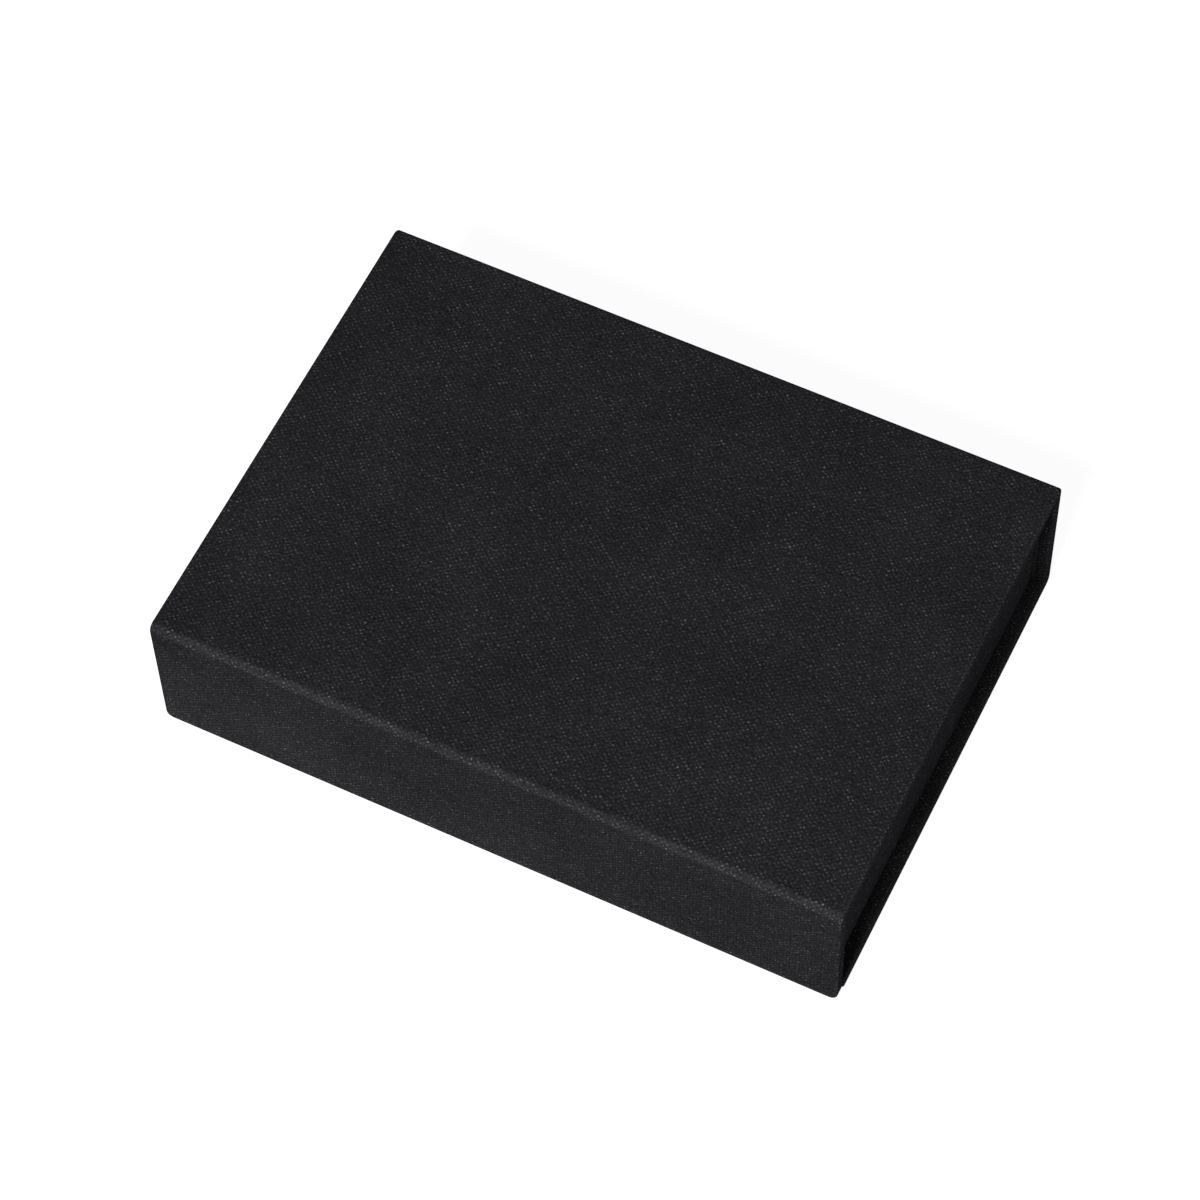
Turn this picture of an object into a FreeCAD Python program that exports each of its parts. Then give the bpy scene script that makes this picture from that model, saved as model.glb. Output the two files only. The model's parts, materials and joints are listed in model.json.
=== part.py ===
"""Photo storage box: a cloth-covered case of four hinged boards round a shallow tray.

The box stands on its base. X runs along the long side, Y from the flap at the front to the spine at the
back, Z up, and the origin is the middle of the underside. The case's base, spine, lid and flap are boards
in one cloth, with a V groove at each fold. The spine and the tray are glued to the base. The lid turns on
the cloth at its back edge, and the flap on the cloth at the lid's front edge. Millimetres.
"""
import FreeCAD, Part
import os
from collections import namedtuple

import Sketcher

SIZES = (
    ("box_length", 170, "outer length, along X"),
    ("box_depth", 122, "outer depth, flap face to spine face"),
    ("box_height", 41, "outer height, table to lid"),
    ("case_board", 2.5, "greyboard of base, spine, lid and flap"),
    ("cloth", 0.45, "paper-backed book cloth"),
    ("lining", 0.25, "lining paper"),
    ("fold_radius", 2.2, "outside of the cloth at a fold"),
    ("edge_round", 0.6, "outside of the cloth over a board's edge"),
    ("corner_round", 2.0, "lower corners of the flap, seen from the front"),
    ("turn_in", 15, "cloth glued down behind a board's edge"),
    ("lining_border", 3, "turned-in cloth left bare beside the lining"),
    ("end_overhang", 3.4, "case past the tray at each short end"),
    ("flap_lift", 1, "flap's lower edge above the table"),
    ("flap_clearance", 0.3, "closed flap to the tray's front"),
    ("lid_clearance", 0.3, "closed lid to the tray's rim"),
    ("wall_board", 2, "greyboard of the tray's walls"),
    ("floor_board", 1.5, "greyboard of the tray's floor"),
    ("rim_turn_in", 14, "tray cloth turned down inside the rim"),
    ("rim_border", 3, "tray cloth left bare above the wall lining"),
    ("closure_spacing", 96, "between the two magnets"),
    ("closure_height", 23, "magnets above the table"),
    ("magnet_diameter", 10, "disc magnet in the flap"),
    ("magnet_thickness", 1.5, "disc magnet in the flap"),
    ("keeper_diameter", 14, "steel disc in the tray's front wall"),
    ("keeper_thickness", 0.8, "steel disc in the tray's front wall"),
    ("recess_room", 0.1, "round a disc in its recess"),
    ("disc_edge", 0.2, "chamfer round a disc"),
)

# Places on the box, worked out from the sizes.
TOP = "size.box_height"
END = "(size.box_length / 2)"
FRONT = "(-size.box_depth / 2)"
BACK = "(size.box_depth / 2)"

# Faces of a panel's layers, by how far they lie in from the outside of its cloth.
BOARD_FACE = "(size.cloth + size.case_board)"
PANEL = "(size.case_board + 2 * size.cloth)"
LINED_PANEL = f"({PANEL} + size.lining)"
SUNK_LINING = f"({BOARD_FACE} + size.lining)"

# The tray stands on the base, against the lined spine.
TRAY_END = f"({END} - size.end_overhang)"
TRAY_FRONT = f"({FRONT} + {LINED_PANEL} + size.flap_clearance)"
TRAY_BACK = f"({BACK} - {LINED_PANEL})"
RIM = f"({TOP} - {LINED_PANEL} - size.lid_clearance)"
FLOOR = f"({PANEL} + size.floor_board)"
WALL_INSIDE = "(size.cloth + size.wall_board)"
WALL_CLOTH_INSIDE = "(size.wall_board + 2 * size.cloth)"

# A fold, by how far a point lies along the panel from the other panel's outside, and in from its own.
# The two panels meet where both are equal. The cloth bends at fold_radius round the point BEND, BEND,
# and a lining on both slopes of the groove keeps board and cloth back by SETBACK, measured along.
BEND = "size.fold_radius"
UNDER_CLOTH = "(size.fold_radius - size.cloth)"
SLANT = "sqrt(0.5)"
SETBACK = f"(size.lining / {SLANT})"
GROOVE_DEPTH = f"sqrt({UNDER_CLOTH}^2 - size.lining^2)"
CREASE_OUTSIDE = (f"{BEND} * (1 - {SLANT})", f"{BEND} * (1 - {SLANT})")
CREASE_INSIDE = (f"{BEND} - {UNDER_CLOTH} * {SLANT}", f"{BEND} - {UNDER_CLOTH} * {SLANT}")
GROOVE_FOOT = (
    f"{BEND} - {SLANT} * ({GROOVE_DEPTH} - size.lining)",
    f"{BEND} - {SLANT} * ({GROOVE_DEPTH} + size.lining)",
)

# A layer of a case panel. Its faces lie between outer and inner, and it stops at margin from a cut edge.
# lined and bare are its corners at a fold, from its inner face to its outer one, as a groove with a lining
# and one without shapes them, each with the corners that start an arc round the bend.
Layer = namedtuple("Layer", "outer inner margin lined bare")


def open_end(along, inner, outer):
    """A layer's end at a fold where nothing shapes it."""
    return ((along, inner), (along, outer)), ()


CLOTH_AT_FOLD = (((PANEL, PANEL), CREASE_OUTSIDE, (BEND, "0")), (1,))
CLOTH = Layer("0", PANEL, "0", CLOTH_AT_FOLD, CLOTH_AT_FOLD)
BOARD = Layer(
    "size.cloth",
    BOARD_FACE,
    "size.cloth",
    (((f"{BOARD_FACE} + {SETBACK}", BOARD_FACE), GROOVE_FOOT, (BEND, "size.cloth")), (1,)),
    (((BOARD_FACE, BOARD_FACE), CREASE_INSIDE, (BEND, "size.cloth")), (1,)),
)
WINDOW_AT_FOLD = open_end("0", PANEL, BOARD_FACE)
WINDOW = Layer(BOARD_FACE, PANEL, "size.turn_in", WINDOW_AT_FOLD, WINDOW_AT_FOLD)
LINING_ON_CLOTH = Layer(
    PANEL,
    LINED_PANEL,
    "size.lining_border",
    (((LINED_PANEL, LINED_PANEL), CREASE_INSIDE, GROOVE_FOOT, (f"{PANEL} + {SETBACK}", PANEL)), (1,)),
    open_end(PANEL, LINED_PANEL, PANEL),
)
LINING_ON_BOARD = Layer(
    BOARD_FACE,
    PANEL,
    "size.turn_in",
    (((f"{PANEL} + {SETBACK}", PANEL), (f"{BOARD_FACE} + {SETBACK}", BOARD_FACE)), ()),
    open_end(PANEL, PANEL, BOARD_FACE),
)
DIP_AT_FOLD = open_end("0", LINED_PANEL, SUNK_LINING)
LINING_DIP = Layer(SUNK_LINING, LINED_PANEL, "size.turn_in + size.lining", DIP_AT_FOLD, DIP_AT_FOLD)

# The room that a lining takes up in a groove, between the cloth's slope and the other panel's.
GROOVE_LINING = ((PANEL, PANEL), CREASE_INSIDE, GROOVE_FOOT, (f"{PANEL} + {SETBACK}", PANEL))
GROOVE_LINING_ARC = 1

doc = FreeCAD.newDocument("photo_storage_box")
size = doc.addObject("Spreadsheet::Sheet", "size")
for row, (alias, value, meaning) in enumerate(SIZES, start=1):
    size.set(f"A{row}", alias)
    size.set(f"B{row}", str(value))
    size.setAlias(f"B{row}", alias)
    size.set(f"C{row}", meaning)
doc.recompute()


def number(expression):
    """The value of an expression at the sheet's sizes."""
    result = size.evalExpression(expression)
    return float(getattr(result, "Value", result))


def near(left, right):
    return abs(left - right) < 1e-4


def new_body(label):
    body = doc.addObject("PartDesign::Body", label)
    body.Label = label
    return body


def new_sketch(body, plane, offset="0"):
    """A sketch on one of the body's own origin planes, moved along the plane's normal.

    Its axes are X and Y on XY_Plane, X and Z on XZ_Plane (normal -Y), Y and Z on YZ_Plane.
    """
    sketch = body.newObject("Sketcher::SketchObject", body.Label + "_sketch")
    support = [feature for feature in body.Origin.OriginFeatures if feature.Role == plane][0]
    sketch.AttachmentSupport = [(support, "")]
    sketch.MapMode = "FlatFace"
    sketch.setExpression("AttachmentOffset.Base.z", offset)
    return sketch


def constrain(sketch, constraint, expression):
    """Add a constraint whose value follows an expression."""
    index = sketch.addConstraint(constraint)
    sketch.setExpression(f"Constraints[{index}]", expression)


def place_point(sketch, edge, end, place):
    """Fix one end or the centre of an edge at a place given by two expressions."""
    for kind, expression in zip(("DistanceX", "DistanceY"), place):
        constrain(sketch, Sketcher.Constraint(kind, -1, 1, edge, end, number(expression)), expression)


def new_arc(start, stop, centre):
    """An arc of less than half a turn, and which of its ends are start and stop: it always runs leftwards."""
    radius = (start - centre).Length
    middle = centre + ((start + stop) / 2 - centre).normalize() * radius
    if (start - centre).cross(stop - centre).z > 0:
        return Part.Arc(start, middle, stop), (1, 2)
    return Part.Arc(stop, middle, start), (2, 1)


def draw_outline(sketch, corners, arcs=None):
    """A closed outline. arcs holds the centre of each arc by the index of the corner that it starts from."""
    arcs = arcs or {}
    first = sketch.GeometryCount
    spots = [FreeCAD.Vector(number(across), number(up), 0) for across, up in corners]
    ends = []
    for index, start in enumerate(spots):
        stop = spots[(index + 1) % len(spots)]
        edge, edge_ends = Part.LineSegment(start, stop), (1, 2)
        if index in arcs:
            across, up = arcs[index]
            edge, edge_ends = new_arc(start, stop, FreeCAD.Vector(number(across), number(up), 0))
        sketch.addGeometry(edge)
        ends.append(edge_ends)
    for index, corner in enumerate(corners):
        edge = first + index
        following = (index + 1) % len(corners)
        joint = (edge, ends[index][1], first + following, ends[following][0])
        sketch.addConstraint(Sketcher.Constraint("Coincident", *joint))
        place_point(sketch, edge, ends[index][0], corner)
        if index in arcs:
            across = arcs[index][0]
            constrain(sketch, Sketcher.Constraint("DistanceX", -1, 1, edge, 3, number(across)), across)


def draw_rectangle(sketch, low, high):
    """A rectangle between two corners, each given by two expressions."""
    draw_outline(sketch, (low, (high[0], low[1]), high, (low[0], high[1])))


def draw_circle(sketch, centre, diameter):
    spot = FreeCAD.Vector(number(centre[0]), number(centre[1]), 0)
    edge = sketch.addGeometry(Part.Circle(spot, FreeCAD.Vector(0, 0, 1), number(diameter) / 2))
    place_point(sketch, edge, 3, centre)
    constrain(sketch, Sketcher.Constraint("Diameter", edge, number(diameter)), diameter)


def extrude(kind, body, sketch, length, side="One side", reverse=False):
    feature = body.newObject(f"PartDesign::{kind}", f"{body.Label}_{kind.lower()}")
    feature.Profile = sketch
    feature.SideType = side
    feature.Reversed = reverse
    feature.setExpression("Length", length)
    doc.recompute()


def pad(body, sketch, length, **how):
    extrude("Pad", body, sketch, length, **how)


def pocket(body, sketch, length, **how):
    """Cut a sketch out of a body, and stop if it takes nothing away."""
    before = body.Shape.Volume
    extrude("Pocket", body, sketch, length, **how)
    if body.Shape.Volume >= before:
        raise RuntimeError(f"a pocket in {body.Label} takes nothing away")


def dress_edges(kind, size_name, body, amount, wanted):
    """Fillet or chamfer each edge whose two end points pass a test."""
    solid = body.Tip
    names = [
        f"Edge{index}"
        for index, edge in enumerate(solid.Shape.Edges, start=1)
        if wanted(edge.Vertexes[0].Point, edge.Vertexes[-1].Point)
    ]
    if not names:
        raise RuntimeError(f"{body.Label} has no edge to {kind.lower()}")
    feature = body.newObject(f"PartDesign::{kind}", f"{body.Label}_{kind.lower()}")
    feature.Base = (solid, names)
    feature.setExpression(size_name, amount)
    doc.recompute()


def fillet(body, radius, wanted):
    dress_edges("Fillet", "Radius", body, radius, wanted)


def chamfer(body, width, wanted):
    dress_edges("Chamfer", "Size", body, width, wanted)


def block(body, low, high, cut=False):
    """Add or cut a block between two corners, each given by three expressions."""
    sketch = new_sketch(body, "XY_Plane", low[2])
    draw_rectangle(sketch, low[:2], high[:2])
    height = f"{high[2]} - {low[2]}"
    if cut:
        pocket(body, sketch, height, reverse=True)
    else:
        pad(body, sketch, height)


# How each case panel lies: a point along it and in from its outside, as Y and Z of the box.
def lid_from_front(along, inward):
    return f"{FRONT} + {along}", f"{TOP} - ({inward})"


def lid_from_back(along, inward):
    return f"{BACK} - ({along})", f"{TOP} - ({inward})"


def spine_from_top(along, inward):
    return f"{BACK} - ({inward})", f"{TOP} - ({along})"


def spine_from_foot(along, inward):
    return f"{BACK} - ({inward})", along


def base_from_back(along, inward):
    return f"{BACK} - ({along})", inward


def flap_from_top(along, inward):
    return f"{FRONT} + {inward}", f"{TOP} - ({along})"


# The end of a panel at a fold whose groove is lined or bare, and at a cut edge, where length is how far it
# lies from where the panel's places along it start.
FoldEnd = namedtuple("FoldEnd", "lie groove")
CutEnd = namedtuple("CutEnd", "lie length")


def corners_at(end, layer):
    """A layer's corners at an end of its panel, from inside to outside, and the centres of its arcs."""
    if isinstance(end, CutEnd):
        along = f"{end.length} - ({layer.margin})"
        return [end.lie(along, layer.inner), end.lie(along, layer.outer)], {}
    corners, arc_starts = getattr(layer, end.groove)
    return [end.lie(*corner) for corner in corners], {index: end.lie(BEND, BEND) for index in arc_starts}


def section(ends, layer):
    """A layer's outline across its panel: one end from outside to inside, then the other one back."""
    corners, arcs = corners_at(ends[0], layer)
    corners.reverse()
    arcs = {len(corners) - 2 - index: centre for index, centre in arcs.items()}
    last_corners, last_arcs = corners_at(ends[1], layer)
    arcs.update({len(corners) + index: centre for index, centre in last_arcs.items()})
    return corners + last_corners, arcs


def along_one_axis(a, b):
    return sum(not near(left, right) for left, right in zip(a, b)) == 1


class CasePanel:
    """One board of the case with its cloth and lining.

    half_length is half its size along X, and ends are its two ends across. at_cut_edge tells whether a
    point of the cloth lies in the plane of the panel's cut edge, where it has one.
    """

    def __init__(self, name, half_length, ends, at_cut_edge=lambda point: False):
        self.name = name
        self.half_length = half_length
        self.ends = ends
        self.at_cut_edge = at_cut_edge

    def add_layer(self, body, layer):
        sketch = new_sketch(body, "YZ_Plane")
        draw_outline(sketch, *section(self.ends, layer))
        pad(body, sketch, f"2 * ({self.half_length} - ({layer.margin}))", side="Symmetric")

    def cut_layer(self, body, layer):
        sketch = new_sketch(body, "YZ_Plane")
        draw_outline(sketch, *section(self.ends, layer))
        pocket(body, sketch, f"2 * ({self.half_length} - ({layer.margin}))", side="Symmetric")

    def wraps_edge(self, a, b):
        """Whether the cloth goes round the board at an edge between two points."""
        end = number(self.half_length)
        at_end = near(abs(a.x), end) and near(a.x, b.x)
        return along_one_axis(a, b) and (at_end or self.at_cut_edge(a) and self.at_cut_edge(b))

    def make_board(self):
        board = new_body(self.name + "_board")
        self.add_layer(board, BOARD)
        return board

    def make_cloth(self):
        """Cloth all round the board, turned in behind its edges and, at their ends, over its slopes."""
        cloth = new_body(self.name + "_cloth")
        self.add_layer(cloth, CLOTH)
        self.cut_layer(cloth, BOARD)
        self.shape_corners(cloth)
        fillet(cloth, "size.edge_round", self.wraps_edge)
        self.cut_layer(cloth, WINDOW)
        self.cut_groove_linings(cloth)

    def cut_groove_linings(self, cloth):
        sketch = new_sketch(cloth, "YZ_Plane")
        for end in self.ends:
            if getattr(end, "groove", "") == "lined":
                corners = [end.lie(*corner) for corner in GROOVE_LINING]
                draw_outline(sketch, corners, {GROOVE_LINING_ARC: end.lie(BEND, BEND)})
        if sketch.GeometryCount:
            pocket(cloth, sketch, f"2 * ({self.half_length} - size.lining_border)", side="Symmetric")

    def shape_corners(self, cloth):
        """A panel's corners are square, apart from the flap's."""

    def make_lining(self):
        """Paper inside the panel, over the turned-in cloth and down onto the board between it."""
        lining = new_body(self.name + "_lining")
        self.add_layer(lining, LINING_ON_CLOTH)
        self.add_layer(lining, LINING_ON_BOARD)
        self.cut_layer(lining, LINING_DIP)


class Flap(CasePanel):
    """The front panel, with rounded lower corners and two magnets."""

    def round_corners(self, body, margin):
        """Round the two lower corners of a solid or a space that stays margin inside the flap's outline."""
        side = number(f"{self.half_length} - {margin}")
        foot = number(f"size.flap_lift + {margin}")

        def lower_corner(a, b):
            at_corner = near(abs(a.x), side) and near(a.z, foot)
            return at_corner and along_one_axis(a, b) and not near(a.y, b.y)

        fillet(body, f"size.corner_round - {margin}", lower_corner)

    def shape_corners(self, cloth):
        self.round_corners(cloth, "size.cloth")
        self.round_corners(cloth, "0")

    def make_board(self):
        board = super().make_board()
        self.round_corners(board, "size.cloth")
        sketch = new_sketch(board, "XZ_Plane", f"-({FRONT} + {BOARD_FACE})")
        for x in CLOSURES.values():
            draw_circle(sketch, (x, "size.closure_height"), "size.magnet_diameter + 2 * size.recess_room")
        pocket(board, sketch, "size.magnet_thickness", reverse=True)


CLOSURES = {"left": "-size.closure_spacing / 2", "right": "size.closure_spacing / 2"}

lid = CasePanel("lid", END, (FoldEnd(lid_from_front, "lined"), FoldEnd(lid_from_back, "lined")))
spine = CasePanel("spine", END, (FoldEnd(spine_from_foot, "bare"), FoldEnd(spine_from_top, "lined")))
base = CasePanel(
    "base",
    END,
    (CutEnd(base_from_back, f"{BACK} - {TRAY_FRONT}"), FoldEnd(base_from_back, "bare")),
    lambda point: near(point.y, number(TRAY_FRONT)),
)
flap = Flap(
    "flap",
    END,
    (CutEnd(flap_from_top, f"{TOP} - size.flap_lift"), FoldEnd(flap_from_top, "lined")),
    lambda point: near(point.z, number("size.flap_lift")),
)


def make_case():
    for panel in (base, spine, lid, flap):
        panel.make_board()
        panel.make_cloth()
    for panel in (spine, lid, flap):
        panel.make_lining()


def make_disc(label, x, y, diameter, thickness):
    """A disc standing upright in a board, with its front face at y."""
    disc = new_body(label)
    sketch = new_sketch(disc, "XZ_Plane", f"-({y})")
    draw_circle(sketch, (x, "size.closure_height"), diameter)
    pad(disc, sketch, thickness, reverse=True)
    chamfer(disc, "size.disc_edge", lambda a, b: near(a.y, b.y))


def make_closures():
    """Each magnet lies flush in the flap's board, and each steel disc in the tray's front wall."""
    magnet_front = f"{FRONT} + {BOARD_FACE} - size.magnet_thickness"
    keeper_front = f"{TRAY_FRONT} + size.cloth"
    for hand, x in CLOSURES.items():
        make_disc(hand + "_magnet", x, magnet_front, "size.magnet_diameter", "size.magnet_thickness")
        make_disc(hand + "_keeper_disc", x, keeper_front, "size.keeper_diameter", "size.keeper_thickness")


def inside_tray(inset):
    """The low and high corners, in X and Y, of the tray's outline moved in by inset."""
    low = (f"-({TRAY_END} - ({inset}))", f"{TRAY_FRONT} + {inset}")
    high = (f"{TRAY_END} - ({inset})", f"{TRAY_BACK} - ({inset})")
    return low, high


def ring(body, outer, inner, foot, top, cut=False):
    """Add or cut an upright ring along the tray's walls, between two insets and two heights."""
    sketch = new_sketch(body, "XY_Plane", foot)
    draw_rectangle(sketch, *inside_tray(outer))
    draw_rectangle(sketch, *inside_tray(inner))
    height = f"{top} - ({foot})"
    if cut:
        pocket(body, sketch, height, reverse=True)
    else:
        pad(body, sketch, height)


def make_tray_boards():
    """Four walls on the base, the short ones between the long ones, and a floor between all four."""
    (left, front), (right, back) = inside_tray("size.cloth")
    (inner_left, inner_front), (inner_right, inner_back) = inside_tray(WALL_INSIDE)
    wall_top = f"{RIM} - size.cloth"
    walls = {
        "front": ((left, front), (right, inner_front)),
        "back": ((left, inner_back), (right, back)),
        "left": ((left, inner_front), (inner_left, inner_back)),
        "right": ((inner_right, inner_front), (right, inner_back)),
    }
    for side, (low, high) in walls.items():
        wall = new_body(f"tray_{side}_wall")
        block(wall, (*low, PANEL), (*high, wall_top))
        if side == "front":
            cut_keeper_recesses(wall)
    floor = new_body("tray_floor")
    block(floor, (inner_left, inner_front, PANEL), (inner_right, inner_back, FLOOR))


def cut_keeper_recesses(wall):
    sketch = new_sketch(wall, "XZ_Plane", f"-({TRAY_FRONT} + size.cloth)")
    for x in CLOSURES.values():
        draw_circle(sketch, (x, "size.closure_height"), "size.keeper_diameter + 2 * size.recess_room")
    pocket(wall, sketch, "size.keeper_thickness")


def make_tray_cloth():
    """One strip of cloth up the outside of the walls, over the rim and down inside."""
    cloth = new_body("tray_cloth")
    ring(cloth, "0", WALL_CLOTH_INSIDE, PANEL, RIM)
    ring(cloth, "size.cloth", WALL_INSIDE, PANEL, f"{RIM} - size.cloth", cut=True)
    side = number(TRAY_END)
    front = number(TRAY_FRONT)
    back = number(TRAY_BACK)
    rim = number(RIM)

    def outer_corner(point):
        return near(abs(point.x), side) and (near(point.y, front) or near(point.y, back))

    fillet(cloth, "size.edge_round", lambda a, b: outer_corner(a) and outer_corner(b) and not near(a.z, b.z))
    fillet(cloth, "size.edge_round", lambda a, b: near(a.z, rim) and near(b.z, rim))
    block(
        cloth,
        (*inside_tray(WALL_INSIDE)[0], PANEL),
        (*inside_tray(WALL_INSIDE)[1], f"{RIM} - size.rim_turn_in"),
        cut=True,
    )


def make_tray_linings():
    """Paper on the walls, over the turned-down cloth and onto the boards below it, and on the floor."""
    on_cloth = f"{WALL_CLOTH_INSIDE} + size.lining"
    on_board = f"{WALL_INSIDE} + size.lining"
    turn_in_foot = f"{RIM} - size.rim_turn_in"
    walls = new_body("tray_wall_lining")
    ring(walls, WALL_INSIDE, on_cloth, FLOOR, f"{RIM} - size.rim_border")
    ring(walls, WALL_INSIDE, WALL_CLOTH_INSIDE, turn_in_foot, RIM, cut=True)
    ring(walls, on_board, on_cloth, FLOOR, f"{turn_in_foot} - size.lining", cut=True)
    low, high = inside_tray(on_board)
    floor = new_body("tray_floor_lining")
    block(floor, (*low, FLOOR), (*high, f"{FLOOR} + size.lining"))


def check_model():
    """Stop if any feature failed, or if a piece isn't one sound solid."""
    doc.recompute()
    for item in doc.Objects:
        if "Invalid" in item.State or "Error" in item.State:
            raise RuntimeError(f"{item.Label} failed")
    for piece in pieces():
        shape = piece.Shape
        if shape.isNull() or not shape.isValid() or len(shape.Solids) != 1:
            raise RuntimeError(f"{piece.Label} isn't one sound solid")


def pieces():
    return [item for item in doc.Objects if item.TypeId == "PartDesign::Body"]


make_case()
make_closures()
make_tray_boards()
make_tray_cloth()
make_tray_linings()
check_model()
os.makedirs("parts", exist_ok=True)
for piece in pieces():
    piece.Shape.exportStep(f"parts/{piece.Label}.step")
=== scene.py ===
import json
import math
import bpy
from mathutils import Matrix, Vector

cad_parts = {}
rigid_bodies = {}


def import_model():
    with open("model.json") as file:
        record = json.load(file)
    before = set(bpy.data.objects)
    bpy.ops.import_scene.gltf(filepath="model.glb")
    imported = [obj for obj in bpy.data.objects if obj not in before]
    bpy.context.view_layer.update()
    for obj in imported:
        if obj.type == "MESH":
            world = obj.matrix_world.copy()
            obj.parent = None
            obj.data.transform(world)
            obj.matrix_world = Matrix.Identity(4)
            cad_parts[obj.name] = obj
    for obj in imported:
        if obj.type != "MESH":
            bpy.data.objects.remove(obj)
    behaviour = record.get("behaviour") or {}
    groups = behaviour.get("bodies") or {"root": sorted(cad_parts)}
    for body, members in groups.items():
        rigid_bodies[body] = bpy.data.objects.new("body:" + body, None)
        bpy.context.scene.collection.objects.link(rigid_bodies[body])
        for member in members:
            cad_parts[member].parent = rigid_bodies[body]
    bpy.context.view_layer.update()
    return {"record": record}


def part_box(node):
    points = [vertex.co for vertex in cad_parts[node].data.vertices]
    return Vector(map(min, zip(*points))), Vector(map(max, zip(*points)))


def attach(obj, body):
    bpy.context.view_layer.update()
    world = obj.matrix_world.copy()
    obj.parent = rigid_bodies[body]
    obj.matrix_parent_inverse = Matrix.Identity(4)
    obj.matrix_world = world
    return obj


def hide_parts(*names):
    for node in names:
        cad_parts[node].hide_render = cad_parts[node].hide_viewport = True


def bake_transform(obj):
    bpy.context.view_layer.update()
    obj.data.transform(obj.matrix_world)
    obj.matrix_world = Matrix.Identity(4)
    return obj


bl_info = {
    "name": "Photo storage box",
    "version": (1, 0, 0),
    "blender": (4, 5, 0),
    "location": "3D View > Sidebar > Photo Box",
    "description": "Covers and lines a photo storage box round its packed boards, and sets it in a plain studio",
    "category": "Add Mesh",
}

from itertools import pairwise

import bmesh
import bpy
from mathutils import Matrix, Vector

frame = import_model()

MM = 0.001

# How far apart two places may lie and still count as one, and how far a test for places reaches past a face.
SAME = 1e-6
REACH = 0.01 * MM

# The covered box's faces, and how deep its layers reach under them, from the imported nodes.
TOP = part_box("lid_cloth")[1].z
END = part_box("lid_cloth")[1].x
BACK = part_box("spine_cloth")[1].y
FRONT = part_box("flap_cloth")[0].y
BASE_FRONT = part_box("base_cloth")[0].y
FLAP_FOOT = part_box("flap_cloth")[0].z
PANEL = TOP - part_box("lid_cloth")[0].z
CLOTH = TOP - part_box("lid_board")[1].z
BOARD_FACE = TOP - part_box("lid_board")[0].z
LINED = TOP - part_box("lid_lining")[0].z
LINING = LINED - PANEL
LINING_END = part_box("lid_lining")[1].x
FLAP_LINING_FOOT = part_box("flap_lining")[0].z

# How far a cutter reaches past what it cuts, how far it keeps from a face beside it, and how deep under the box's
# faces it ends when it opens a panel.
PAST = 1 * MM
CLEAR = 0.1 * MM
BEHIND = PANEL + PAST

# The lid is covered and lined by two pieces of each kind, one over each fold, that meet on this line across it,
# and the spine's cloth is divided where it neither bends nor moves.
SEAM = 45 * MM
SPINE_SEAM = 20 * MM

# The cloth and lining left between a fold's two slopes, and how deep the window between turned-in edges is cut.
FOLD_WEB = 0.8 * MM
WINDOW_FACE = BOARD_FACE - CLEAR

# How far the tray's cloth is turned down inside, and the radius of the cloth and paper in its corners.
TRAY_TURN_IN = 14 * MM
INNER_CORNER = 0.4 * MM

# Half of the slit between the two slopes of a closed fold.
SLIT = 0.03 * MM

# How far the magnets and the steel discs lie from the middle and above the table, and their radii.
CLOSURE_OFF_MIDDLE = 48 * MM
CLOSURE_HEIGHT = 23 * MM
MAGNET_RADIUS = 5 * MM
KEEPER_RADIUS = 7 * MM

# The unevenness of a covering hardly ever lies further from 0 than this.
UNEVEN = 0.25

# The height at which the lamps are aimed, in the middle of the box.
LAMP_AIM = 20 * MM

CASE_SLOT = "case_cloth"
TRAY_SLOT = "tray_cloth"
LINING_SLOT = "lining_paper"
CASE_CLOTH = "Cover cloth"
TRAY_CLOTH = "Tray cloth"
LINING_PAPER = "Lining paper"
GREYBOARD = "Greyboard"
STEEL = "Punched steel"
NICKEL = "Nickel plating"

# The material for each of the record's slots.
FINISHES = {
    CASE_SLOT: CASE_CLOTH,
    TRAY_SLOT: TRAY_CLOTH,
    LINING_SLOT: LINING_PAPER,
    "greyboard": GREYBOARD,
    "keeper_steel": STEEL,
    "magnet_plating": NICKEL,
}

# The UV map of the cloth as it lay flat, and the mark, from 0 to 1, of how much paler a place on it is painted,
# partly as wear and partly as a painted highlight over folds and edges.
FLAT_MAP = "cloth"
WEAR_AND_SHEEN_MARK = "wear_and_sheen"


# Editing.


def deselect_all():
    if bpy.context.mode != "OBJECT":
        bpy.ops.object.mode_set(mode="OBJECT")
    bpy.ops.object.select_all(action="DESELECT")


def edit(piece, kind="FACE"):
    """Go into edit mode on one piece, to work on its vertices, edges or faces."""
    deselect_all()
    piece.select_set(True)
    bpy.context.view_layer.objects.active = piece
    bpy.ops.object.mode_set(mode="EDIT")
    bpy.ops.mesh.select_mode(type=kind)


def leave_edit():
    bpy.ops.object.mode_set(mode="OBJECT")


def choose(kind, wanted):
    """Select the vertices, edges or faces that wanted accepts by their vertices' places, and no others."""
    bpy.ops.mesh.select_mode(type=kind)
    bpy.ops.mesh.select_all(action="DESELECT")
    mesh = bpy.context.object.data
    shape = bmesh.from_edit_mesh(mesh)
    elements = {"VERT": shape.verts, "EDGE": shape.edges, "FACE": shape.faces}[kind]
    found = False
    for element in elements:
        corners = [element.co] if kind == "VERT" else [vertex.co for vertex in element.verts]
        if wanted(corners):
            element.select_set(True)
            found = True
    shape.select_flush_mode()
    bmesh.update_edit_mesh(mesh)
    if not found:
        raise RuntimeError(f"{bpy.context.object.name}: nothing to select")


def near(a, b, within=SAME):
    return abs(a - b) < within


def cut(axis, *places):
    """Cut all that is being edited by planes across an axis."""
    normal = [0, 0, 0]
    normal[axis] = 1
    for place in places:
        point = [0, 0, 0]
        point[axis] = place
        bpy.ops.mesh.select_all(action="SELECT")
        bpy.ops.mesh.bisect(plane_co=point, plane_no=normal)


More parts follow.
